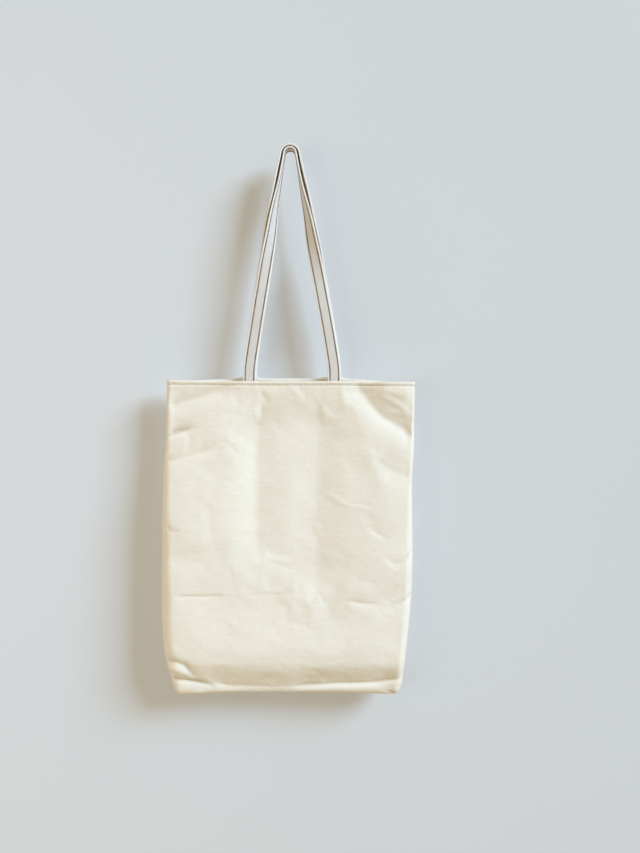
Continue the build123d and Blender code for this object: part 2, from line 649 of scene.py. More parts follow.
FRONT_BROAD = (
    Swell((-110, 160), (34, 100), 1.2),
    Swell((112, 130), (44, 120), 2.6),
    Swell((-5, 328), (150, 34), 2.2),
    Ripple(0.35, 18, 80, 11),
)
FRONT_FOLDS = (
    Fold(((-39, 4), (-38.5, 30), (-37, 70), (-36, 100), (-34.5, 150), (-33, 200), (-30, 236)), 5.8, 24, 19, 1.6, 0.22),
    Fold(((31, 4), (32, 30), (34, 70), (35.5, 149), (35, 195), (37, 240), (40, 272)), 6.2, 26, 52, 1.65, 0.2),
    Fold(((95, 80), (102, 96), (108, 114), (114, 138)), -2.4, 20, 12, 1.7, 0.35),
    Fold(
        ((77, -14), (83, 4), (91, 16), (100, 28), (111.5, 40), (126, 49), (140, 57), (151, 66), (162, 74)),
        6.6, 32, 11, 1.5, 0.18,
    ),
    Fold(((102, -4), (128, 5), (158, 17)), -5.2, 20, 27, 1.8, 0.3),
    Fold(((98, 12), (122, 23), (136, 32), (152, 46)), -1.4, 4, 5),
    Fold(((100, 9), (124, 13), (146, 22)), -0.8, 3.5, 4),
    Fold(((112, 34), (128, 38), (148, 40)), -0.9, 4, 3.5),
    Fold(((97, 86), (110, 98), (123, 107), (142, 115), (170, 122)), 4.0, 15, 20, 1.5, 0.25),
    Fold(((-170, 34), (-142, 27), (-103, 15), (-73, 5), (-60, 0)), 4.0, 14, 9, 1.5, 0.25),
    Fold(((-180, 73), (-150, 67.5), (-134, 62), (-108, 56)), 5.4, 10, 4, 1.25, 0.38),
    Fold(((-124, 62), (-121, 74), (-122, 88)), 1.1, 6, 4, 1.5),
    Fold(((-180, 100), (-149, 97), (-129, 93), (-101, 84), (-82, 78)), 2.6, 20, 7, 1.4, 0.25),
    Fold(((-150, 177), (-141, 181), (-126, 186)), 0.5, 5, 6, 1.4),
    Fold(((-95, 140), (-93, 170), (-90, 205)), 0.8, 8, 8),
    Fold(((-155, 214), (-123, 211), (-90, 206), (-66, 202)), 1.5, 9, 22, 1.6, 0.25),
    Fold(((-42, 12), (-35, 18), (-25, 22)), 1.0, 7, 5, 1.5),
    Fold(((0, 2), (6, 14), (12, 28)), -0.9, 6, 6, 1.8),
    Fold(((63, 0), (64, 14), (66, 40)), -1.0, 7, 6, 2.0),
    Fold(((50, 138), (62, 144.5), (76.5, 154), (89, 153.5), (103, 160)), -0.5, 2.0, 4.0, 1.3, 0.25),
    Fold(((98, 176), (108, 184), (122, 192)), 1.3, 8, 4, 1.5),
    Fold(((-136, 260.3), (-106, 259.8), (-68, 259.7)), 1.3, 1.3, 4.5, 1.0, 0.25),
    Fold(((-84, 259.7), (-25, 259), (18, 257)), 0.25, 1.4, 4, 1.1, 0.3),
    Fold(((68, 264.5), (90, 268), (118, 269.5)), 1.5, 3.5, 6, 1.2),
    Fold(((128, 270), (146, 264.5), (168, 260)), 1.5, 4, 4.5, 1.2),
    Fold(((72, 237), (95, 243), (115, 252)), 0.9, 11, 8, 1.7),
    Fold(((114, 214), (128, 219.5), (139, 218), (150, 210), (168, 202)), 1.0, 4, 6, 1.2, 0.3),
    Fold(((-30, 203), (-15, 210), (0, 212), (13, 207)), 1.3, 8, 9),
    Fold(((-21, 216), (-11, 223), (1, 225.5), (12, 221)), 1.0, 4, 7, 1.4),
    Fold(((-27, 222), (-21, 245), (-13, 262), (0, 284)), 1.0, 12, 12),
    Fold(((14, 250), (23.5, 262), (30, 275), (36, 296)), -1.0, 9, 8, 1.8),
    Fold(((-2, 254), (6, 266), (12, 288)), -0.8, 8, 7, 1.8),
    Fold(((44, 252), (55.5, 275), (64, 302)), 0.9, 14, 12),
    Fold(((-104, 363), (-84, 366.5), (-66, 370), (-30, 371.5), (10, 371.5), (44, 369)), 4.6, 12, 9, 1.2, 0.22),
    Fold(((4, 371), (52, 368.5), (100, 365.5), (128, 361), (150, 357)), 6.4, 13, 3.5, 1.2, 0.22),
    Fold(((-165, 356), (-137, 359), (-114, 362), (-88, 369)), 5.2, 4.5, 5, 1.2, 0.22),
    Fold(((-165, 335), (-138, 337), (-120, 342), (-110, 356)), 2.6, 6, 5, 1.4, 0.25),
    Fold(((-152, 345), (-136, 346), (-122, 352), (-116, 358)), -1.2, 3, 5, 1.5, 0.3),
    Fold(((120, 374), (128, 378), (139, 385)), 2.6, 3.5, 3.5, 1.2),
)
BACK_BROAD = (
    Swell((0, 150), (80, 170), -2.2),
    Swell((100, 160), (34, 120), 1.0),
    Swell((-100, 190), (36, 130), 1.2),
    Ripple(0.55, 22, 95, 23),
)
BACK_FOLDS = (
    Fold(((40, 6), (38, 80), (36, 210)), 1.5, 26, 20, 1.5),
    Fold(((-42, 6), (-40, 90), (-34, 190)), 1.4, 22, 28, 1.5),
    Fold(((-74, 2), (-98, 34), (-126, 56), (-168, 70)), 2.2, 8, 22, 1.4, 0.2),
    Fold(((78, 4), (104, 30), (132, 52), (170, 64)), 1.6, 20, 9, 1.5, 0.2),
    Fold(((-136, 262), (-80, 264), (-20, 263)), 0.7, 3.5, 5, 1.1, 0.25),
    Fold(((40, 266), (90, 265), (140, 262)), 0.6, 4, 5, 1.2, 0.25),
    Fold(((-160, 360), (-60, 367), (30, 369), (110, 364), (160, 358)), 2.4, 20, 3.2, 1.2, 0.14),
)


@dataclass(frozen=True)
class BagForm:
    """Outer form of the bag, cut level. Drops are measured down from the front mouth edge."""

    mouth_z: dict[Side, float]
    base_z: float
    widest_width: float
    base_width: float
    belly_depth: float
    mouth_width: float = 0.303
    mouth_depth: float = 0.016
    low_depth: float = 0.042
    low_drop: float = 0.338
    foot_depth: float = 0.026
    widest_drop: float = 0.150
    draw_power: int = 4
    belly_drop: float = 0.250
    foot_radius: float = 0.009
    foot_tuck: float = 0.006
    lip_drop: float = 0.366
    lip_lean: float = 0.0020
    foot_turn: float = 1.45
    side_share: tuple[float, float] = (0.8, 0.5)
    side_slack: float = 0.64
    seam_pinch: float = 0.0011
    seam_reach: float = 0.004
    sways: tuple[tuple[float, float], ...] = ((0.0, 0.0), (0.195, -0.0042), (0.328, -0.0065))
    foot_sway: float = -0.0040

    @classmethod
    def from_frame(cls) -> "BagForm":
        """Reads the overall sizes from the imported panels.

        Returns:
            The form with those sizes.
        """
        front, back, base = (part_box(f"{name}_panel") for name in ("front", "back", "base"))
        return cls(
            mouth_z={Side.FRONT: front[1].z, Side.BACK: back[1].z},
            base_z=base[0].z,
            widest_width=front[1].x - front[0].x,
            base_width=base[1].x - base[0].x,
            belly_depth=back[1].y - front[0].y,
        )

    @property
    def height(self) -> float:
        """From the base up to the front mouth edge."""
        return self.mouth_z[Side.FRONT] - self.base_z

    @property
    def straight(self) -> float:
        """Length of cloth from the mouth edge to the start of the rolled foot."""
        return self.height - self.foot_radius

    @property
    def foot_half(self) -> float:
        """Half the front-to-back size of the opening that the rolled feet leave for the base."""
        return self.foot_depth / 2 - self.lip_lean - self.foot_tuck * (1 - math.cos(self.foot_turn))

    @property
    def flat_width(self) -> float:
        """Width of one side's cloth laid flat, at its widest place."""
        return 2 * float(self.half_girth(self.widest_drop))

    def depth(self, drop: Array) -> Array:
        """Front-to-back size: a thin mouth, a full belly, and a bottom that narrows to the base."""
        belly = (self.belly_drop, self.belly_depth), (self.low_drop, self.low_depth)
        return eased(drop, ((0.0, self.mouth_depth), *belly, (self.straight, self.foot_depth)))

    def width(self, drop: Array) -> Array:
        """Side-to-side size: nearly straight sides that draw in towards the base.

        Args:
            drop: Length below the mouth.

        Returns:
            The width there.
        """
        draw = np.clip((drop - self.widest_drop) / (self.height - self.widest_drop), 0, 1) ** self.draw_power
        upper = eased(drop, ((0.0, self.mouth_width), (self.widest_drop, self.widest_width)))
        return upper - (self.widest_width - self.base_width) * draw

    def sway(self, drop: Array) -> Array:
        """How far the hanging bag leans to one side."""
        return eased(drop, (*self.sways, (self.height, self.foot_sway)))

    def rounding(self, drop: Array, hand: Array) -> Array:
        """Width of the rounded edge beside a seam.

        Args:
            drop: Length below the mouth.
            hand: Negative to the left of the middle, seen from the front.

        Returns:
            The width at each place.
        """
        share = np.where(hand < 0, *self.side_share)
        low = smooth((drop - self.low_drop) / (self.straight - self.low_drop))
        return self.depth(drop) / 2 * (share + (self.side_share[0] - share) * low)

    def half_girth(self, drop: Array) -> Array:
        """Length of cloth from the middle of a side to the side seam."""
        return self.width(drop) / 2 + self.depth(drop) / 2 * self.side_slack


@dataclass
class PanelSurface:
    """Outer face of one side of the bag, with its folds.

    Its methods take lengths in metres: across to the right of the middle along the cloth, drop below the
    mouth, and half from the middle to the seam.
    """

    side: Side
    form: BagForm
    broad: tuple[Swell | Ripple, ...]
    folds: tuple[Fold, ...]
    seam_folds: tuple[Fold, ...]
    mouth_drop: float
    mouth_dip: tuple[float, float]
    foot_dip: tuple[float, float]
    strap_x: float
    stitch_drop: float
    strap_half: float = 0.0085
    strap_fade: float = 0.010
    strap_sewn: float = 0.034
    strap_bulge: float = 0.00035
    strap_lean: float = 0.0028
    dip_start: float = 0.055
    dip_end: float = 0.147
    mouth_power: int = 3
    foot_power: int = 6
    seam_fade: float = 0.020
    seam_share: float = 0.15
    hem_fade: float = 0.060
    hem_broad: float = 0.1
    hem_fold_fade: float = 0.015
    hem_fold: float = 0.5
    groove: float = 0.0009
    groove_reach: float = 0.0013
    hem_puff: float = 0.0004
    puff_place: float = 0.4
    pucker: Ripple = Ripple(0.22, 4, 12, 31)
    # crease_depth and the broad_ fields set how much painted shade the creases get
    crease_depth: float = 0.0022
    broad_reach: int = 3
    broad_start: float = 0.6
    broad_depth: float = 2.0
    slump: Array | None = None

    @property
    def foot_drop(self) -> float:
        """Length of cloth from the mouth edge to the end of the roll under the base."""
        return self.form.height + (self.form.foot_turn - 1) * self.form.foot_radius

    def shares(self, step: float) -> Array:
        """Places across for lay, from seam to seam and about a step apart."""
        return np.linspace(-1, 1, 1 + round(self.form.flat_width / step))

    def strap_share(self, across: Array, drop: Array) -> Array:
        """1 over a sewn-in strap end, 0 away from it."""
        beside = 1 - smooth((abs(abs(across) - self.strap_x) - self.strap_half) / self.strap_fade)
        return beside * (1 - smooth((drop - self.strap_sewn) / (2 * self.strap_fade)))

    def hem(self, across: Array, drop: Array) -> Array:
        """Metres that the sewn hem stands out: a puffed edge, a stitch groove and puckers along it.

        Args:
            across: Place across.
            drop: Length below the mouth.

        Returns:
            The height at each place.
        """
        groove, puff, near = (
            np.exp(-(((drop - self.stitch_drop * place) / reach) ** 2))
            for place, reach in ((1, self.groove_reach), (self.puff_place, self.groove_reach), (1, self.stitch_drop))
        )
        return self.hem_puff * puff - self.groove * groove + near * self.pucker.at(across / MM, drop / MM) * MM

    def seam_shift(self, across: Array, drop: Array, half: Array) -> Array:
        """Metres that the front's folds move the nearer side seam, the same on both sides of the bag."""
        left, right = (relief(self.seam_folds, hand * half, drop) * self.seam_share for hand in (-1, 1))
        return np.where(self.side.value * across > 0, left, right)

    def standing(self, across: Array, drop: Array, half: Array) -> Array:
        """Metres that the cloth stands out from the smooth form.

        Args:
            across: Place across.
            drop: Length below the mouth.
            half: Length from the middle to the seam.

        Returns:
            The height at each place.
        """
        broad, folded = (relief(items, across, drop) for items in (self.broad, self.folds))
        to_seam = half - abs(across)
        away = smooth(to_seam / self.seam_fade)
        height = broad * away * (self.hem_broad + (1 - self.hem_broad) * smooth(drop / self.hem_fade))
        folded = folded * away + self.seam_shift(across, drop, half) * (1 - away)
        height = height + folded * (self.hem_fold + (1 - self.hem_fold) * smooth(drop / self.hem_fold_fade))
        least = self.strap_bulge - self.strap_lean * smooth(drop / self.strap_sewn)
        height = height + self.strap_share(across, drop) * (np.maximum(height, least) - height)
        pinch = self.form.seam_pinch * np.clip(1 - to_seam / self.form.seam_reach, 0, 1) ** 2
        return height + self.hem(across, drop) - pinch

    def dip(self, across: Array, drop: Array) -> Array:
        """Metres that the cloth hangs lower towards its corners at the mouth and the foot.

        Args:
            across: Place across.
            drop: Length below the mouth.

        Returns:
            The dip at each place.
        """
        span = self.dip_end - self.dip_start
        left, right = (smooth((hand * across - self.dip_start) / span) for hand in (-1, 1))
        share = np.clip(drop / self.form.height, 0, 1)
        mouth = self.mouth_drop + left * self.mouth_dip[0] + right * self.mouth_dip[1]
        foot = left * self.foot_dip[0] + right * self.foot_dip[1]
        return mouth * (1 - share) ** self.mouth_power + foot * share**self.foot_power

    def lay(self, shares: Array, drops: Array) -> Laid:
        """Lays a grid of cloth on the surface.

        Args:
            shares: Places across, from -1 at one side seam to 1 at the other.
            drops: Lengths of cloth below the mouth edge.

        Returns:
            Points, outward directions, lengths across, and standing heights, each by drop and by share.
        """
        form, drop = self.form, drops[:, None]
        turn = np.clip((drop - form.straight) / form.foot_radius, 0, math.pi / 2)
        lift = form.mouth_z[self.side] - form.mouth_z[Side.FRONT]
        fall = np.minimum(drop, form.straight)
        half = form.half_girth(fall)
        across = shares[None, :] * half
        radius = form.depth(fall) / 2
        edge = form.rounding(fall, self.side.value * -across)
        flat = form.width(fall) / 2 - edge
        angle = np.clip((abs(across) - flat) / (half - flat), 0, 1) * math.pi / 2
        standing = self.standing(across, drop, half)
        lip = np.clip((drop - form.lip_drop) / (form.height - form.lip_drop), 0, 1)
        raised = standing - form.foot_tuck * (1 - np.cos(turn)) - form.lip_lean * lip
        out = radius + raised
        x = np.clip(across, -flat, flat) + np.sign(across) * (edge + raised) * np.sin(angle)
        z = form.mouth_z[Side.FRONT] - fall - form.foot_radius * np.sin(turn)
        z = z + lift * (1 - drop / form.height) ** self.mouth_power - self.dip(across, drop)
        points = self.side.point(x, out * np.cos(angle), z)
        points[..., 0] += form.sway(fall)
        if self.slump is not None:
            rows, columns = self.slump.shape[:2]
            places = drops / self.foot_drop * (rows - 1), (shares + 1) / 2 * (columns - 1)
            move = between_points(self.slump, *places)
            points = points + move
            standing = standing + self.side.value * move[..., 1]
        run, fallen = np.gradient(points, axis=1), np.gradient(points, axis=0)
        return points, unit(np.cross(fallen, run)), across, standing

    def hollow(self, standing: Array, cells: int) -> Array:
        """How deep each place lies in a crease or a broad sunk area, which sets how much painted shade it gets.

        Args:
            standing: Heights by row and column.
            cells: Reach of the surroundings that each place is compared with.

        Returns:
            The depth at each place, from 0 to 1.
        """
        depth = self.crease_depth
        near = np.clip((blurred(standing, cells) - standing) / depth, 0, 1)
        sunk = blurred(standing, self.broad_reach * cells) - standing - self.broad_start * depth
        return np.maximum(near, np.clip(sunk / (self.broad_depth * depth), 0, 1))


@dataclass(frozen=True)
class ClothSettle:
    """Lets a laid panel settle as slightly slack cloth, held at its hem, seams, foot and sewn strap ends."""

    step: float = 0.0036
    slack: float = 0.0013
    frames: int = 16
    quality: int = 5
    mass: float = 0.0002
    stretch: float = 60.0
    shear: float = 20.0
    bend: float = 0.5
    damping: float = 5.0
    foot_rows: int = 3
    sewn_share: float = 0.9

    def held(self, surface: PanelSurface, across: Array, drops: Array) -> Array:
        """Which points of the grid are sewn down.

        Args:
            surface: The panel's surface.
            across: Lengths across by row and column.
            drops: Lengths below the mouth by row.

        Returns:
            True where a point can't move.
        """
        drop = drops[:, None]
        held = (surface.strap_share(across, drop) > self.sewn_share) & (drop < surface.strap_sewn)
        held[[0, *range(-self.foot_rows, 0)]] = True
        held[:, [0, -1]] = True
        return held

    def run(self, surface: PanelSurface) -> Array:
        """Simulates the settling.

        Args:
            surface: The panel's surface.

        Returns:
            How far each point of an even grid over the panel moves.
        """
        drops = np.linspace(0, surface.foot_drop, 1 + round(surface.foot_drop / self.step))
        points, _, across, _ = surface.lay(surface.shares(self.step), drops)
        index = np.arange(points[..., 0].size).reshape(points.shape[:2])
        quads = np.stack((index[:-1, :-1], index[1:, :-1], index[1:, 1:], index[:-1, 1:]), -1).reshape(-1, 4)
        mesh = bpy.data.meshes.new("settling_cloth")
        mesh.from_pydata(points.reshape(-1, 3).tolist(), [], quads.tolist())
        cloth = placed("settling_cloth", mesh)
        sewn = cloth.vertex_groups.new(name="sewn")
        sewn.add(index[self.held(surface, across, drops)].tolist(), 1.0, "REPLACE")
        modifier = cloth.modifiers.new("settle", "CLOTH")
        settings = modifier.settings
        settings.quality, settings.mass, settings.shrink_min = self.quality, self.mass, -self.slack
        settings.tension_stiffness = settings.compression_stiffness = self.stretch
        settings.shear_stiffness, settings.bending_stiffness = self.shear, self.bend
        settings.tension_damping = settings.compression_damping = settings.shear_damping = self.damping
        settings.vertex_group_mass = sewn.name
        modifier.collision_settings.use_collision = False
        modifier.point_cache.frame_end = self.frames
        for moment in range(1, self.frames + 1):
            bpy.context.scene.frame_set(moment)
        settled = np.zeros(points.size)
        cloth.evaluated_get(bpy.context.evaluated_depsgraph_get()).data.vertices.foreach_get("co", settled)
        bpy.data.objects.remove(cloth)
        bpy.data.meshes.remove(mesh)
        bpy.context.scene.frame_set(1)
        return settled.reshape(points.shape) - points


def ring_piece(name: str, points: Array, cloth: Array, marks: dict[str, Array]) -> Object:
    """Makes a closed piece from a grid whose rows close into a ring.

    Args:
        name: The piece's name.
        points: Points by row, column and axis. Row i lies over row -1 - i, so the open ends can be closed.
        cloth: Places on the flat cloth by row, column and axis, in metres.
        marks: Values on the points by attribute name, by row and column.

    Returns:
        The new object.
    """
    rows, columns = points.shape[:2]
    index = np.arange(rows * columns).reshape(rows, columns)
    below = np.roll(index, -1, axis=0)
    faces = np.stack((index[:, :-1], below[:, :-1], below[:, 1:], index[:, 1:]), -1).reshape(-1, 4).tolist()
    for column in (0, columns - 1):
        edge = index[:, column].tolist()
        faces += [[edge[i], edge[i + 1], edge[-2 - i], edge[-1 - i]] for i in range(rows // 2 - 1)]
    mesh = bpy.data.meshes.new(name)
    mesh.from_pydata(points.reshape(-1, 3).tolist(), [], faces)
    for mark, values in marks.items():
        mesh.attributes.new(mark, "FLOAT", "POINT").data.foreach_set("value", values.astype(np.float32).ravel())
    layer = mesh.uv_layers.new(name=CLOTH_MAP)
    corners = np.zeros(len(mesh.loops), np.int32)
    mesh.loops.foreach_get("vertex_index", corners)
    layer.data.foreach_set("uv", cloth.reshape(-1, 2)[corners].astype(np.float32).ravel())
    work = bmesh.new()
    work.from_mesh(mesh)
    bmesh.ops.recalc_face_normals(work, faces=work.faces)
    work.to_mesh(mesh)
    work.free()
    mesh.polygons.foreach_set("use_smooth", [True] * len(mesh.polygons))
    return placed(name, mesh)


def seam_ways(across: Array) -> Array:
    """Lengths of cloth from each place to the nearer side seam, from lengths across that end at the seams."""
    return abs(across[:, -1:]) - abs(across)


@dataclass
class ClothPanel:
    """A layer of cloth on one side of the bag. Each kind of panel keeps, as shown, the face that is sewn."""

    surface: PanelSurface
    rim_steps: int = 5
    hollow_cells: int = 4

    def close(self, kind: str, laid: Laid, drops: Array, thickness: Array) -> Object:
        """Gives a grid of cloth its thickness, rolls its top edge over and makes it a closed piece.

        Args:
            kind: The piece's name after the side's.
            laid: Outer face as from PanelSurface.lay, with heights as seen on the face that shows.
            drops: Lengths below the mouth, by row.
            thickness: Thickness of the cloth, by row.

        Returns:
            The piece.
        """
        points, facing, across, standing = laid
        inner = points - facing * thickness[:, None, None]
        radius = thickness[0] / 2
        turns = np.linspace(0, math.pi, self.rim_steps + 2)[1:-1, None, None]
        rim = points[0] - radius * facing[0] + radius * (np.cos(turns) * facing[0] + np.sin(turns) * UP)
        ring = np.concatenate((points[::-1], rim, inner))
        along = np.concatenate((drops[::-1], -radius * turns[:, 0, 0], -radius * math.pi - drops))
        # The painted-shade mask runs round the rolled rim with the cloth.
        width, hollow, ways = (
            np.concatenate((values[::-1], np.repeat(values[:1], self.rim_steps, axis=0), values))
            for values in (across, self.surface.hollow(standing, self.hollow_cells), seam_ways(across))
        )
        cloth = np.stack((width, np.broadcast_to(along[:, None], width.shape)), axis=-1)
        return ring_piece(f"{self.surface.side.word}_{kind}", ring, cloth, {PAINTED_SHADE: hollow, SEAM_WAY: ways})

    def stitch_line(self, lift: float) -> Row:
        """Points, directions and ways from the seam along the hem's stitches.

        Args:
            lift: How far they lie off the cloth.

        Returns:
            The row for StitchSewer.sew.
        """
        points, facing, ways, drops = self.shown
        row = int(np.argmin(abs(drops - self.surface.stitch_drop)))
        return points[row] + facing[row] * lift, facing[row], ways[row]


@dataclass
class CanvasPanel(ClothPanel):
    """Outer canvas of one side, with its turned hem and the foot that rolls under the base."""

    thickness: float = 0.0012
    hem_thickness: float = 0.0018
    hem_depth: float = 0.016
    column_step: float = 0.0019
    row_steps: tuple[tuple[float, float], ...] = ((0.012, 0.00075), (0.25, 0.0019), (0.27, 0.0011), (0.335, 0.0019))
    foot_step: float = 0.0011

    def drops(self) -> Array:
        """Rows of the grid: close at the hem, the packing crease and the foot, wider between.

        Returns:
            Lengths below the mouth.
        """
        runs, low = [], 0.0
        for high, step in (*self.row_steps, (self.surface.foot_drop, self.foot_step)):
            runs.append(np.linspace(low, high, round((high - low) / step), endpoint=False))
            low = high
        return np.concatenate((*runs, [low]))

    def build(self) -> Object:
        """Builds the closed canvas mesh.

        Returns:
            The piece.
        """
        drops = self.drops()
        laid = self.surface.lay(self.surface.shares(self.column_step), drops)
        self.shown = (laid[0], laid[1], seam_ways(laid[2]), drops)
        fold_in = 1 - smooth((drops - self.hem_depth) / (self.hem_depth / 3))
        return self.close("canvas", laid, drops, self.thickness + (self.hem_thickness - self.thickness) * fold_in)


@dataclass
class LiningPanel(ClothPanel):
    """Lining of one side: sewn to the canvas at the hem, round the strap ends, and hanging clear below."""

    rim_steps: int = 3
    hollow_cells: int = 3
    hem_inset: float = 0.0019
    strap_inset: float = 0.0043
    clear_inset: float = 0.0038
    thickness: float = 0.0008
    top_drop: float = 0.0012
    foot_gap: float = 0.0075
    clear_start: float = 0.012
    clear_end: float = 0.040
    hem_rows: int = 14
    grid_step: float = 0.0032

    def build(self) -> Object:
        """Builds the closed lining mesh.

        Returns:
            The piece.
        """
        surface, height = self.surface, self.surface.form.height
        near = np.linspace(self.top_drop, self.clear_start, self.hem_rows, endpoint=False)
        far = np.linspace(self.clear_start, height - self.foot_gap, 1 + round(height / self.grid_step))
        drops = np.concatenate((near, far))
        points, facing, across, standing = surface.lay(surface.shares(self.grid_step), drops)
        clear = smooth((drops - self.clear_start) / (self.clear_end - self.clear_start))[:, None]
        inset = self.hem_inset + (self.clear_inset - self.hem_inset) * clear
        lean = surface.strap_lean * np.clip(drops[:, None] / surface.strap_sewn, 0, 1)
        behind = np.maximum(self.strap_inset + lean + standing, inset)
        inset = inset + (behind - inset) * surface.strap_share(across, drops[:, None])
        points = points - facing * inset[..., None]
        self.shown = (points - facing * self.thickness, -facing, seam_ways(across), drops)
        laid = (points, facing, across, -standing)
        return self.close("lining_cloth", laid, drops, np.full(len(drops), self.thickness))


@dataclass
class BaseSheet:
    """A layer of the boxed base: a long rounded sheet that sags a little between its seams."""

    name: str
    bottom_z: float
    width: float
    depth: float
    thickness: float
    surface: PanelSurface
    sag: float = 0.0012
    corner_slack: float = 0.002
    end_limit: float = 0.999
    wave: Ripple = Ripple(0.5, 14, 60, 5)
    columns: int = 90
    rows: int = 16

    def build(self) -> Object:
        """Builds the closed sheet.

        Returns:
            The piece.
        """
        form, radius = self.surface.form, self.depth / 2
        corner = float(form.rounding(form.height, -1)) - form.foot_depth / 2 + radius + self.corner_slack
        x, share = (np.sin(np.linspace(-math.pi / 2, math.pi / 2, count)) for count in (self.columns, self.rows))
        x, share = self.width / 2 * x, share[:, None]
        end = np.clip((abs(x) - self.width / 2) / corner + 1, 0, self.end_limit)
        half = radius * np.sqrt(1 - end**2)
        y = share * half
        wave = self.wave.at(x[None, :] / MM, y / MM) * MM
        z = self.bottom_z + (wave - self.sag) * (1 - share**2) * (half / radius)
        z = z - self.surface.dip(x, np.array(form.height))
        x = np.broadcast_to(x, y.shape) + form.sway(form.height)
        low, high = np.stack((x, y, z), -1), np.stack((x, y, z + self.thickness), -1)
        ring = np.concatenate((low, high[::-1]))
        return ring_piece(self.name, ring, ring[..., :2], {PAINTED_SHADE: np.zeros(ring.shape[:2])})


@dataclass
class HandleStrap:
    """One tape handle: two legs that turn a quarter on the way up, a loop, and two sewn-in ends."""

    side: Side
    form: BagForm
    loop_radius: float
    twist_end: float
    thickness: float = 0.002
    foot_inset: float = 0.00235
    leg_bow: float = 0.05
    twist_start: float = 0.33
    foot_shift: float = 0.0016
    top_shift: float = -0.0008
    end_lean: float = 0.0028
    row_offset: float = TAPE.row_offset
    groove: float = 0.00028
    groove_reach: float = 0.0006
    edge_round: float = 0.001
    waver: float = 0.0005
    waver_length: float = 0.083
    waver_fade: tuple[float, float] = (0.05, 0.06)
    leg_steps: int = 130
    loop_steps: int = 16
    end_steps: int = 18
    half_places: tuple[float, ...] = (0.0, 1.5, 3.0, 4.1, 4.7, 5.0, 5.25, 5.5, 5.8, 6.4, 7.0, 7.4, 7.7, 7.9, 7.985)
    half_scale: float = 8.0

    def __post_init__(self) -> None:
        """Reads the strap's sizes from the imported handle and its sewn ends."""
        low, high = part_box(f"{self.side.word}_handle")
        end_low, end_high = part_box(f"{self.side.word}_handle_left_end")
        self.width = end_high.x - end_low.x
        self.spread = -(end_low.x + end_high.x) / 2
        self.fold_z = low.z
        self.end_z = end_low.z
        self.loop_z = high.z - self.thickness / 2 - self.loop_radius

    def half_line(self) -> tuple[Array, Array]:
        """Centres and across directions from the left sewn end to the top of the loop.

        Returns:
            Both, by station along the tape.
        """
        foot_y = self.form.mouth_depth / 2 - self.foot_inset
        foot = np.array((-self.spread, self.side.value * foot_y, self.fold_z))
        reach = math.hypot(foot[0], foot[2] - self.loop_z)
        angle = math.atan2(foot[2] - self.loop_z, foot[0]) % (2 * math.pi) - math.acos(self.loop_radius / reach)
        turns = np.linspace(angle, math.pi / 2, self.loop_steps + 1)
        loop = np.stack((np.cos(turns), 0 * turns, np.sin(turns)), -1) * self.loop_radius + UP * self.loop_z
        share = np.linspace(0, 1, self.leg_steps)
        bow = share**2 * (1 + self.leg_bow) / (share + self.leg_bow)
        ways = np.stack((bow, smooth(share), share), -1)
        leg = foot + (loop[0] - foot) * ways
        end = np.repeat(foot[None], self.end_steps, axis=0)
        end[:, 2] = np.linspace(self.end_z, self.fold_z, self.end_steps, endpoint=False)
        mouth_z = self.form.mouth_z[self.side]
        lower = np.clip((mouth_z - end[:, 2]) / (mouth_z - self.end_z), 0, 1)
        end[:, 1] -= self.side.value * self.end_lean * lower
        centres = np.concatenate((end, leg, loop[1:]))
        twist = math.pi / 2 * smooth((share - self.twist_start) / (self.twist_end - self.twist_start))
        rest = twist[-1] + (math.pi / 2 - twist[-1]) * np.linspace(0, 1, self.loop_steps + 1)[1:]
        twist = np.concatenate((np.zeros(self.end_steps), twist, rest))
        return centres, np.stack((np.cos(twist), np.sin(twist), 0 * twist), -1)

    def stations(self) -> Row:
        """Centres, across directions and facing directions along the whole strap, from left end to right end.

        Returns:
            The three, by station along the tape.
        """
        flip = np.array((-1.0, 1.0, 1.0))
        centres, across = (np.concatenate((part, (part * flip)[-2::-1])) for part in self.half_line())
        lengths = np.linalg.norm(np.diff(centres, axis=0), axis=1)
        self.lengths = np.concatenate(([0.0], np.cumsum(lengths)))
        above = centres[:, 2] - self.fold_z
        free = smooth(above / self.waver_fade[0]) * smooth(-centres[:, 2] / self.waver_fade[1])
        along = unit(np.gradient(centres, axis=0))
        across = unit(across - along * np.sum(across * along, axis=1, keepdims=True))
        facing = np.cross(across, along)
        centres[:, 0] += self.foot_shift + (self.top_shift - self.foot_shift) * smooth(above / -self.fold_z)
        sway = np.sin(self.lengths * 2 * math.pi / self.waver_length + self.side.value) * self.waver * free
        return centres + facing * sway[:, None], across, facing

    def half_thickness(self, place: Array) -> Array:
        """Half the tape's thickness at places across it, thinner in the stitch grooves and round at the edges.

        Args:
            place: Distance from the tape's middle line.

        Returns:
            Half the thickness there.
        """
        past = np.clip((abs(place) - self.width / 2 + self.edge_round) / self.edge_round, 0, 1)
        groove = self.groove * np.exp(-(((abs(place) - self.row_offset) / self.groove_reach) ** 2))
        return self.thickness / 2 * np.sqrt(1 - past**2) - groove

    def build(self) -> Object:
        """Builds the closed strap mesh.

        Returns:
            The piece.
        """
        right = np.array(self.half_places) / self.half_scale * (self.width / 2)
        place = np.concatenate((-right[:0:-1], right))
        thick = self.half_thickness(place)
        profile = np.concatenate((place, place[::-1]))
        depth = np.concatenate((thick, -thick[::-1]))
        self.line = centres, across, facing = self.stations()
        ring = centres + profile[:, None, None] * across + depth[:, None, None] * facing
        cloth = np.stack(np.broadcast_arrays(self.lengths[None, :], profile[:, None]), -1)
        # Marks the tape's reverse face, which gets a tan colour darkened as painted shade.
        outside = self.side.value * np.repeat((1, -1), len(place))
        shaded_backing = np.broadcast_to((outside > 0)[:, None], ring.shape[:2])
        return ring_piece(f"{self.side.word}_strap", ring, cloth, {PAINTED_SHADE: shaded_backing})

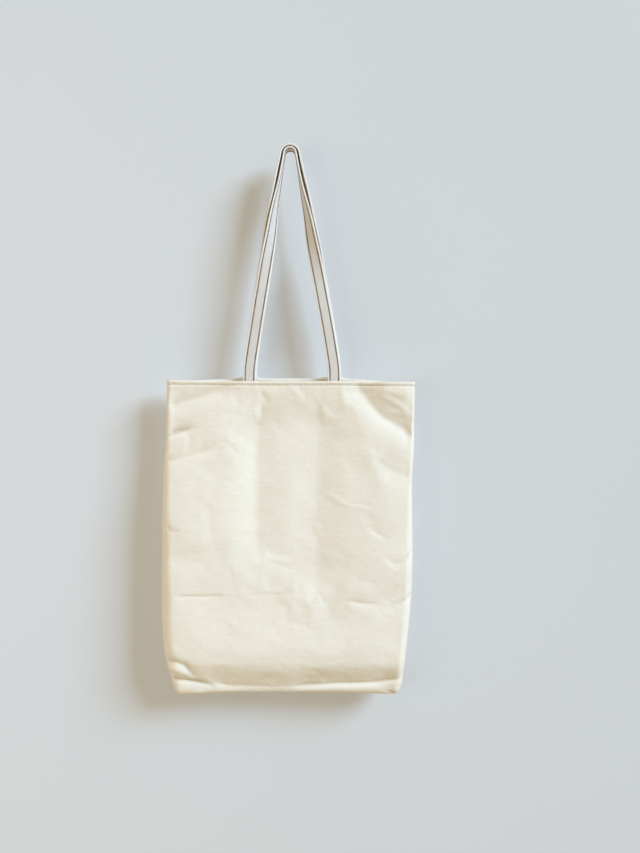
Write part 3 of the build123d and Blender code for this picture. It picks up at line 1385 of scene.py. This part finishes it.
    def stitch_lines(self, lift: float) -> list[Row]:
        """Points, directions and ways from a seam, here 0, along both stitch rows on both faces.

        Args:
            lift: How far they lie off the tape.

        Returns:
            The rows for StitchSewer.sew.
        """
        centres, across, facing = self.line
        top = self.half_thickness(np.array(self.row_offset)) + lift
        return [
            (centres + row * self.row_offset * across + face * top * facing, face * facing, np.zeros(len(centres)))
            for row in (-1, 1)
            for face in (-1, 1)
        ]


@dataclass(frozen=True)
class Stitch:
    """Sizes of the stitches in a row, and how far the row lies off the cloth."""

    pitch: float
    length: float
    width: float
    height: float
    unevenness: float
    seed: int
    lift: float

    def inputs(self) -> dict[str, float]:
        """The sizes by the names of the node tree's inputs."""
        sizes = {"Pitch": self.pitch, "Stitch Length": self.length, "Thread Width": self.width}
        return {**sizes, "Thread Height": self.height, "Unevenness": self.unevenness, "Seed": self.seed}


HEM_STITCH = Stitch(0.0032, 0.0023, 0.0009, 0.0006, unevenness=0.12, seed=3, lift=0.00008)
STRAP_STITCH = Stitch(0.0021, 0.0019, 0.0020, 0.0010, unevenness=0.1, seed=7, lift=0.0002)


@dataclass
class StitchSewer:
    """Lays thread stitches along lines with a node tree whose sizes are inputs."""

    tree_name: str = "stitch_rows"
    segments: int = 6
    rings: int = 5

    def __post_init__(self) -> None:
        """Builds the node tree once."""
        self.tree = bpy.data.node_groups.new(self.tree_name, "GeometryNodeTree")
        sheet, face = NodeSheet(self.tree), self.tree.interface
        sizes = dict.fromkeys(HEM_STITCH.inputs(), "Float")
        kinds = {"Lines": "Geometry", **sizes, "Seed": "Int", "Thread": "Material"}
        for name, kind in kinds.items():
            face.new_socket(name, in_out="INPUT", socket_type=f"NodeSocket{kind}")
        face.new_socket("Stitches", in_out="OUTPUT", socket_type="NodeSocketGeometry")
        given = sheet.add("NodeGroupInput").outputs
        curve = sheet.add("GeometryNodeMeshToCurve", None, {"Mesh": given["Lines"]})
        spaced = {"Curve": curve, "Length": given["Pitch"]}
        rows = sheet.add("GeometryNodeResampleCurve", {"mode": "LENGTH"}, spaced)
        facing = sheet.add("GeometryNodeInputNamedAttribute", {"data_type": "FLOAT_VECTOR"}, {"Name": FACING})
        axes = {0: facing.outputs["Attribute"], 1: sheet.add("GeometryNodeInputTangent")}
        turn = sheet.add("FunctionNodeAxesToRotation", {"primary_axis": "Z", "secondary_axis": "X"}, axes)
        round_ball = {"Segments": self.segments, "Rings": self.rings, "Radius": 0.5}
        ball = sheet.add("GeometryNodeMeshUVSphere", None, round_ball)
        sizes = {0: given["Stitch Length"], 1: given["Thread Width"], 2: given["Thread Height"]}
        size = sheet.add("ShaderNodeCombineXYZ", None, sizes)
        stitch = sheet.add("GeometryNodeTransform", None, {"Geometry": ball, "Scale": size})
        rounded = sheet.add("GeometryNodeSetShadeSmooth", None, {0: stitch})
        spare = Value(sheet, given["Unevenness"])
        limits = {2: 1.0 - spare, 3: 1.0 + spare, "Seed": given["Seed"]}
        vary = sheet.add("FunctionNodeRandomValue", {"data_type": "FLOAT"}, limits)
        stitches = {"Points": rows, "Instance": rounded, "Rotation": turn, "Scale": vary.outputs[1]}
        laid = sheet.add("GeometryNodeInstanceOnPoints", None, stitches)
        real = sheet.add("GeometryNodeRealizeInstances", None, {0: laid})
        dyed = sheet.add("GeometryNodeSetMaterial", None, {"Geometry": real, "Material": given["Thread"]})
        sheet.add("NodeGroupOutput", None, {0: dyed})

    def sew(self, name: str, lines: list[Row], stitch: Stitch, thread: Material) -> Object:
        """Sews rows of stitches and turns them into one plain mesh.

        Args:
            name: The piece's name.
            lines: Points, outward directions and ways from the seam of each row.
            stitch: The stitches' sizes.
            thread: The thread's material.

        Returns:
            The stitches' object.
        """
        points, facing, ways = (np.concatenate(part) for part in zip(*lines))
        starts = np.cumsum([0] + [len(line[0]) for line in lines])
        edges = [(i, i + 1) for low, high in zip(starts, starts[1:]) for i in range(low, high - 1)]
        mesh = bpy.data.meshes.new(f"{name}_lines")
        mesh.from_pydata(points.tolist(), edges, [])
        for mark, kind, key, values in ((FACING, "FLOAT_VECTOR", "vector", facing), (SEAM_WAY, "FLOAT", "value", ways)):
            mesh.attributes.new(mark, kind, "POINT").data.foreach_set(key, values.astype(np.float32).ravel())
        piece = placed(name, mesh)
        sewing = piece.modifiers.new("stitches", "NODES")
        sewing.node_group = self.tree
        sockets = {item.name: item.identifier for item in self.tree.interface.items_tree if item.in_out == "INPUT"}
        for key, value in {**stitch.inputs(), "Thread": thread}.items():
            sewing[sockets[key]] = value
        made = bpy.data.meshes.new_from_object(piece.evaluated_get(bpy.context.evaluated_depsgraph_get()))
        made.name = name
        piece.modifiers.remove(sewing)
        piece.data = made
        bpy.data.meshes.remove(mesh)
        return piece


@dataclass(frozen=True)
class Lamp:
    """A soft square lamp."""

    name: str
    place: tuple[float, float, float]
    size: float
    power: float
    tint: tuple[float, float, float]

    def hang(self, aim: tuple[float, float, float]) -> None:
        """Adds the lamp, pointed at the given place.

        Args:
            aim: What it points at.
        """
        data = bpy.data.lights.new(self.name, "AREA")
        data.shape, data.size, data.size_y = "RECTANGLE", self.size, self.size
        data.energy, data.color = self.power, self.tint
        lamp = placed(self.name, data)
        lamp.location = self.place
        lamp.rotation_euler = (Vector(aim) - Vector(self.place)).to_track_quat("-Z", "Y").to_euler()


@dataclass
class Studio:
    """Camera at the photograph's angle, a pale wall just behind the bag, a pale floor, and soft lamps."""

    pixel: float = 0.001209
    image: tuple[int, int] = (640, 853)
    origin_pixel: tuple[float, float] = (290.5, 150.8)
    distance: float = 0.9
    front_y: float = -0.010
    sensor: float = 36.0
    wall_gap: float = 0.012
    wall_size: float = 6.0
    floor_z: float = -1.15
    aim: tuple[float, float, float] = (0.0, 0.0, -0.40)
    lamps: tuple[Lamp, ...] = (
        Lamp("window", (9.38, -5.86, 6.05), 4.8, 1730.0, (0.62, 0.81, 1.0)),
        Lamp("front", (-0.9, -1.2, -0.5), 0.9, 3.2, (1.0, 0.99, 0.97)),
        Lamp("fill", (-2.12, -0.57, -0.21), 1.4, 4.0, (1.0, 0.96, 0.90)),
        Lamp("rear", (0.5, 1.7, 0.5), 1.6, 24.0, (0.70, 0.85, 1.0)),
    )
    glow: tuple[Colour, float] = ((1.0, 0.80, 0.50, 1), 0.55)
    seen: tuple[Colour, float] = ((0.66, 0.68, 0.68, 1), 1.0)

    def camera(self) -> None:
        """Adds the camera square to the bag."""
        width, height = self.image
        data = bpy.data.cameras.new("camera")
        data.sensor_width = self.sensor
        data.lens = self.sensor * self.distance / (height * self.pixel)
        camera = placed("camera", data)
        camera.location = (
            (width / 2 - self.origin_pixel[0]) * self.pixel,
            self.front_y - self.distance,
            (self.origin_pixel[1] - height / 2) * self.pixel,
        )
        camera.rotation_euler = (math.pi / 2, 0, 0)
        bpy.context.scene.camera = camera

    def plane(self, name: str, location: tuple, tilt: float, paint: PaintFinish) -> None:
        """Adds a large flat sheet to the stage, which neither shades the bag nor reflects on it.

        Args:
            name: Its name.
            location: Its middle.
            tilt: Its turn about the X axis.
            paint: Its finish.
        """
        half = self.wall_size / 2
        corners = [(-half, -half, 0), (half, -half, 0), (half, half, 0), (-half, half, 0)]
        mesh = bpy.data.meshes.new(name)
        mesh.from_pydata(corners, [], [(0, 1, 2, 3)])
        mesh.materials.append(paint.material())
        sheet = placed(name, mesh)
        sheet.location, sheet.rotation_euler = location, (tilt, 0, 0)
        sheet.visible_shadow = sheet.visible_diffuse = sheet.visible_glossy = False

    def light(self) -> None:
        """Adds the lamps and the even light of the room."""
        for lamp in self.lamps:
            lamp.hang(self.aim)
        world = bpy.data.worlds.new("room")
        world.use_nodes = True
        sheet = NodeSheet(world.node_tree)
        glow, seen = (
            sheet.add("ShaderNodeBackground", None, {"Color": colour, "Strength": strength})
            for colour, strength in (self.glow, self.seen)
        )
        by_camera = sheet.add("ShaderNodeLightPath").outputs["Is Camera Ray"]
        both = sheet.add("ShaderNodeMixShader", None, {0: by_camera, 1: glow, 2: seen})
        sheet.add("ShaderNodeOutputWorld", None, {"Surface": both})
        bpy.context.scene.world = world
        bpy.context.scene.view_settings.view_transform = "Standard"

    def build(self, back_y: float) -> None:
        """Builds the whole stage, with its wall just behind the given depth.

        Args:
            back_y: Depth of the bag's back.
        """
        self.camera()
        wall_middle = (0, back_y + self.wall_gap, self.floor_z + self.wall_size / 2)
        self.plane("wall", wall_middle, math.pi / 2, WALL_PAINT)
        self.plane("floor", (0, 0, self.floor_z), 0.0, FLOOR_PAINT)
        self.light()


@dataclass
class ToteBag:
    """The whole bag: canvas, lining, base, straps and stitches; the back's pieces and the base ride on the bag's body.
    """

    form: BagForm
    loop_radius: dict[Side, float] = by_side(0.0072, 0.0107)
    twist_end: dict[Side, float] = by_side(1.0, 1.12)
    mouth_drop: dict[Side, float] = by_side(0.0028, 0.0038)
    stitch_drop: dict[Side, float] = by_side(0.0042, 0.0028)
    strap_x: float = 0.0515
    corner_drop: tuple[float, float] = (0.0018, 0.0039)
    foot_dip: tuple[float, float] = (0.0030, 0.0024)
    seam_bend: float = 0.018
    bend_below: float = 0.0065
    bend_above: float = 0.010
    base_overlap: float = 0.0008
    base_ends: float = 0.004
    base_lift: float = 0.0016
    base_thickness: float = 0.0012
    base_lining_lift: float = 0.0037
    base_lining_thickness: float = 0.0008
    base_lining_extra: float = 0.0004

    def surface(self, side: Side) -> PanelSurface:
        """The outer face of one side, settled as cloth.

        Args:
            side: Front or back.

        Returns:
            The surface.
        """
        form = self.form
        lift = form.mouth_z[side] - form.mouth_z[Side.FRONT]
        drop = self.mouth_drop[side]
        dips = tuple(corner + lift - drop for corner in self.corner_drop), self.foot_dip
        if side is Side.BACK:
            dips = tuple(pair[::-1] for pair in dips)
        folds = (FRONT_BROAD, FRONT_FOLDS) if side is Side.FRONT else (BACK_BROAD, BACK_FOLDS)
        surface = PanelSurface(side, form, *folds, FRONT_FOLDS, drop, *dips, self.strap_x, self.stitch_drop[side])
        surface.slump = ClothSettle().run(surface)
        return surface

    def carry(self, piece: Object, side: Side) -> None:
        """Carries a cloth piece: the back rides on the bag's body, and the front stays unparented.

        A fold may reach as deep as the seams, so the front is spread out by its way from the seam while its
        transform is baked into its points, and then put back.

        Args:
            piece: The piece.
            side: Its side of the bag.
        """
        if side is Side.BACK:
            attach(piece, "bag_body")
            return
        mesh, height = piece.data, self.form.base_z
        ways, laid = np.zeros(len(mesh.vertices)), np.zeros(3 * len(mesh.vertices))
        mesh.attributes[SEAM_WAY].data.foreach_get("value", ways)
        mesh.vertices.foreach_get("co", laid)
        spread = laid.reshape(-1, 3).copy()
        spread[:, 1] = -ways
        mesh.vertices.foreach_set("co", spread.ravel())
        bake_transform(piece)
        mesh.vertices.foreach_set("co", laid)
        mesh.update()

    def dress(self, piece: Object, slot: str, *nodes: str) -> None:
        """Gives a piece its finish and hides the imported solids that it stands for.

        Args:
            piece: The piece.
            slot: The record's slot for its finish.
            nodes: Nodes that the piece replaces.
        """
        piece.data.materials.clear()
        piece.data.materials.append(self.materials[slot])
        if nodes:
            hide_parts(*nodes)
        LOG.info("%s: %d faces, %s", piece.name, len(piece.data.polygons), slot)

    def sew(self, name: str, lines: list[Row], stitch: Stitch, slot: str) -> Object:
        """Sews rows of stitches and dresses them.

        Args:
            name: The piece's name.
            lines: The rows.
            stitch: The stitches' sizes.
            slot: The record's slot for the thread.

        Returns:
            The stitches' object.
        """
        stitches = self.sewer.sew(name, lines, stitch, self.materials[slot])
        self.dress(stitches, slot)
        return stitches

    def build_side(self, surface: PanelSurface) -> None:
        """Builds the canvas, lining and hem stitches of one side.

        Args:
            surface: The outer face of that side.
        """
        side, word = surface.side, surface.side.word
        flat = (self.form.flat_width, self.form.height)
        panels = (CanvasPanel(surface), LiningPanel(surface))
        layers = (("canvas", f"{word}_panel", f"{word}_handle"), ("lining", f"{word}_lining", f"{word}_canvas"))
        for panel, (slot, node, support) in zip(panels, layers):
            piece = panel.build()
            self.dress(piece, slot, node)
            self.carry(piece, side)
        lines = [panel.stitch_line(HEM_STITCH.lift) for panel in panels]
        self.carry(self.sew(f"{word}_hem_stitches", lines, HEM_STITCH, "cream_thread"), side)

    def build_base(self, surface: PanelSurface) -> None:
        """Builds the base's canvas and lining on the rolled feet of the sides.

        Args:
            surface: The outer face of the front.
        """
        form, extra = self.form, self.base_lining_extra
        depth = 2 * form.foot_half + self.base_overlap
        width = form.base_width - form.foot_depth + depth + self.base_ends
        canvas = BaseSheet("base_canvas", form.base_z + self.base_lift, width, depth, self.base_thickness, surface)
        lining_size = (width + extra, depth + extra, self.base_lining_thickness)
        lining = BaseSheet("base_lining_cloth", form.base_z + self.base_lining_lift, *lining_size, surface)
        for layer, slot, node in ((canvas, "canvas", "base_panel"), (lining, "lining", "base_lining")):
            piece = layer.build()
            self.dress(piece, slot, node)
            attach(piece, "bag_body")

    def build_strap(self, side: Side) -> None:
        """Builds one handle with its stitch rows.

        Args:
            side: Front or back.
        """
        word = side.word
        strap = HandleStrap(side, self.form, self.loop_radius[side], self.twist_end[side])
        tape = strap.build()
        self.dress(tape, "strap", *(f"{word}_handle{end}" for end in ("", "_left_end", "_right_end")))
        lines = strap.stitch_lines(STRAP_STITCH.lift)
        stitches = self.sew(f"{word}_strap_stitches", lines, STRAP_STITCH, "brown_thread")
        for piece in (tape, stitches):
            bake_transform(piece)

    def build(self) -> None:
        """Builds every piece in order."""
        self.sewer = StitchSewer()
        self.materials = {slot: finish.material() for slot, finish in FINISHES.items()}
        surfaces = {side: self.surface(side) for side in Side}
        for side, surface in surfaces.items():
            self.build_side(surface)
            self.build_strap(side)
        self.build_base(surfaces[Side.FRONT])


def main() -> None:
    """Builds the bag and its stage."""
    logging.basicConfig(level=logging.INFO, format="%(message)s")
    bag = ToteBag(BagForm.from_frame())
    bag.build()
    Studio().build(CAD_BOX[1].y)


if __name__ == "__main__":
    main()
